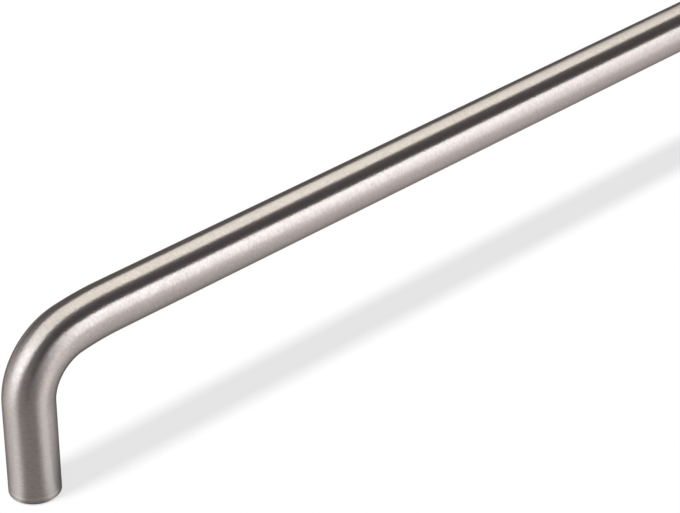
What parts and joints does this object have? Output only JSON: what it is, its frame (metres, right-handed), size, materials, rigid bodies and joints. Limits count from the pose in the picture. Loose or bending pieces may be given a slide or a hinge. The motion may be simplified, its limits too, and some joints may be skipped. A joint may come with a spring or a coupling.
{
  "type": "cabinet handle",
  "caption": "Bent round-bar cabinet handle in brushed steel, with a long straight grip, square bends at both ends and a blind tapped screw hole in each foot.",
  "frame": {"origin": "midway between the two feet, on the cabinet front that they stand on", "axes": "+X along the bar, +Z away from the cabinet front, +Y across the bar"},
  "size_m": [0.266, 0.01, 0.037],
  "materials": {
    "bar": "satin, brushed round the bar"
  },
  "bodies": {
    "root": {"handle": "bar"}
  },
  "joints": []
}
